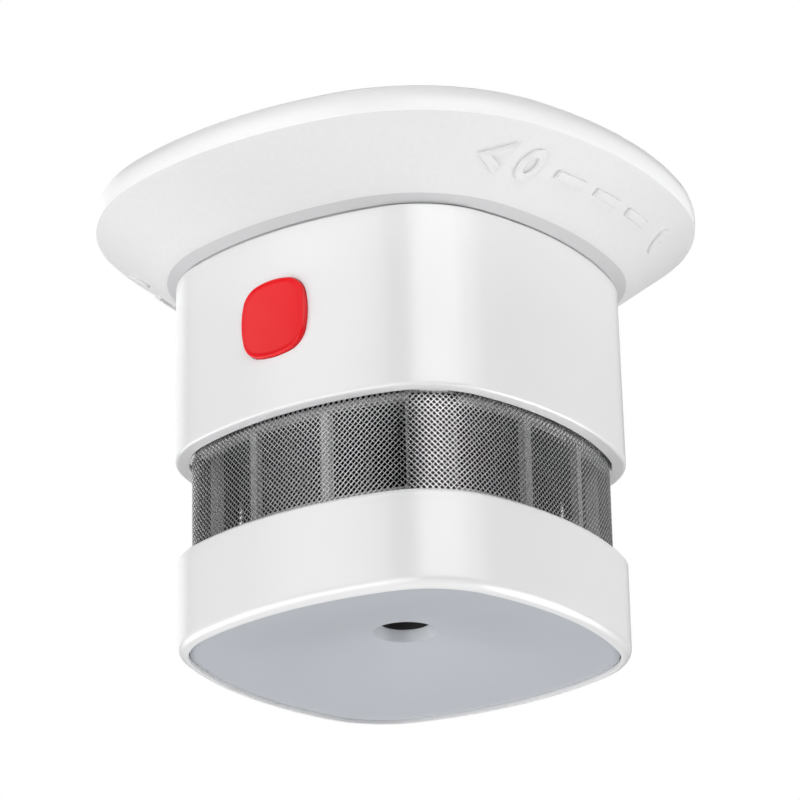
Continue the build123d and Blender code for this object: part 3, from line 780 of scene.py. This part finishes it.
def light_panel():
    """Panel dished towards the sound port, which flares like a small funnel."""
    half = span("diffuser_panel", 0)[1]
    edge_z = span("diffuser_panel", 2)[0]
    dish_z = edge_z + PANEL_FALL
    edge = outline(half - 0.12, BODY_SHAPE)
    flat = circle_like(DISH_FLAT, edge)

    def surface(share, lift):
        drop = sin(radians(90 * share))
        return level(mix(flat, edge, share), dish_z - PANEL_FALL * drop + lift)

    rings = [level(circle_like(PORT_R, edge), z) for z in (dish_z + PANEL_T, dish_z + FUNNEL)]
    for i in range(7):
        a = radians(90 * i / 6)
        lip = PORT_LIP_R + 0.3 * (1 - cos(a))
        rings.append(level(circle_like(lip, edge), dish_z + 0.12 * (1 - sin(a))))
    rings += [surface(i / DISH_STEPS, 0.0) for i in range(DISH_STEPS + 1)]
    rings.append(level(outline(half - 0.03, BODY_SHAPE), edge_z + 0.04))
    rings.append(level(outline(half, BODY_SHAPE), edge_z + 0.14))
    rings.append(level(outline(half, BODY_SHAPE), edge_z + PANEL_T))
    rings += [surface(1 - i / 8, PANEL_T) for i in range(1, 9)]
    bm = bmesh.new()
    add_rings(bm, rings + [rings[0]], caps=(False, False))
    bmesh.ops.remove_doubles(bm, verts=bm.verts, dist=1e-7)
    piece = finish_mesh("light_panel", bm, 40)
    clad(piece, "diffuser_grey")
    return stand_for(piece, "diffuser_panel", "head")


# ---------------------------------------------------------------- camera, light and stage
TARGET = Vector((0.0, 0.0, -21.1)) * MM
CAMERA_AZIMUTH, CAMERA_ELEVATION, CAMERA_ROLL = 36.1, -21.45, 1.3
CAMERA_DISTANCE, LENS = 447 * MM, 195.2
FLOOR_Z, FLOOR_HALF = -1.5, 6.0             # metres
FLOOR_GLOW = (0.86, 0.86, 0.86, 1)
AMBIENT = 0.02                              # share of the backdrop's light that reaches the object
# Softboxes: azimuth, elevation, width, height (degrees as seen from the object), radiance.
SOFTBOXES = {
    "far_left": (-120, 21, 50, 30, 1.1),
    "left": (-58, 21, 36, 30, 0.45),
    "middle": (-20, 21, 36, 30, 1.3),
    "strip": (55, 21, 44, 30, 2.7),
    "strip_fall": (91, 21, 28, 30, 1.7),
    "right": (150, 21, 74, 30, 0.5),
    "low_left": (-36, -35, 120, 30, 2.7),
    "low_right": (140, -35, 38, 30, 5.0),
    "below": (36, -82, 60, 60, 0.35),
}
LAMP_DISTANCE = 1.2


def direction(azimuth, elevation):
    """Unit vector from the object; azimuth 0 is -Y and 90 is +X, in degrees."""
    a, e = radians(azimuth), radians(elevation)
    return Vector((sin(a) * cos(e), -cos(a) * cos(e), sin(e)))


def aim(thing, towards):
    thing.rotation_mode = "QUATERNION"
    thing.rotation_quaternion = (towards - thing.location).to_track_quat("-Z", "Y")


def add_camera():
    camera = bpy.data.objects.new("camera", bpy.data.cameras.new("camera"))
    bpy.context.scene.collection.objects.link(camera)
    camera.data.sensor_width = 36.0
    camera.data.lens = LENS
    camera.data.clip_start, camera.data.clip_end = 0.01, 50.0
    camera.location = TARGET + direction(CAMERA_AZIMUTH, CAMERA_ELEVATION) * CAMERA_DISTANCE
    aim(camera, TARGET)
    camera.rotation_mode = "XYZ"
    camera.rotation_euler.rotate_axis("Z", radians(-CAMERA_ROLL))
    bpy.context.scene.camera = camera


def softbox(name, azimuth, elevation, wide, tall, radiance):
    """A rectangular light of even radiance, aimed at the object and hidden from the camera."""
    width = 2 * LAMP_DISTANCE * tan(radians(wide / 2))
    height = 2 * LAMP_DISTANCE * tan(radians(tall / 2))
    data = bpy.data.lights.new(name, "AREA")
    data.shape = "RECTANGLE"
    data.size, data.size_y = width, height
    data.energy = 4 * radiance * width * height
    lamp = bpy.data.objects.new(name, data)
    bpy.context.scene.collection.objects.link(lamp)
    lamp.location = direction(azimuth, elevation) * LAMP_DISTANCE
    aim(lamp, TARGET)
    lamp.visible_camera = False


def add_floor():
    """A pale floor, as bright to the eye as the backdrop; its glow lights nothing."""
    bm = bmesh.new()
    bmesh.ops.create_grid(bm, x_segments=2, y_segments=2, size=FLOOR_HALF)
    floor = finish_mesh("floor", bm)
    floor.location.z = FLOOR_Z
    shader = Shader("floor", (0.93, 0.93, 0.93), 0.8)
    shader.tone(shader.noise(400.0, 2.0), 0.01)
    shader.bsdf.inputs["Emission Color"].default_value = FLOOR_GLOW
    seen = shader.node("LightPath").outputs["Is Camera Ray"]
    shader.link(seen, shader.bsdf.inputs["Emission Strength"])
    floor.data.materials.append(shader.material)


def add_world():
    world = bpy.data.worlds.new("studio")
    world.use_nodes = True
    tree = world.node_tree
    background = tree.nodes["Background"]
    background.inputs["Color"].default_value = (1, 1, 1, 1)
    seen = tree.nodes.new("ShaderNodeLightPath").outputs["Is Camera Ray"]
    strength = tree.nodes.new("ShaderNodeMapRange")
    strength.inputs["To Min"].default_value = AMBIENT
    strength.inputs["To Max"].default_value = 1.0
    tree.links.new(seen, strength.inputs["Value"])
    tree.links.new(strength.outputs["Result"], background.inputs["Strength"])
    bpy.context.scene.world = world
    bpy.context.scene.view_settings.view_transform = "Standard"


add_camera()
add_world()
add_floor()
for box, settings in SOFTBOXES.items():
    softbox(box, *settings)
dress_cad_nodes()
base_trim()
upper_shell()
button_cap()
steel_screen()
lower_shell()
light_panel()
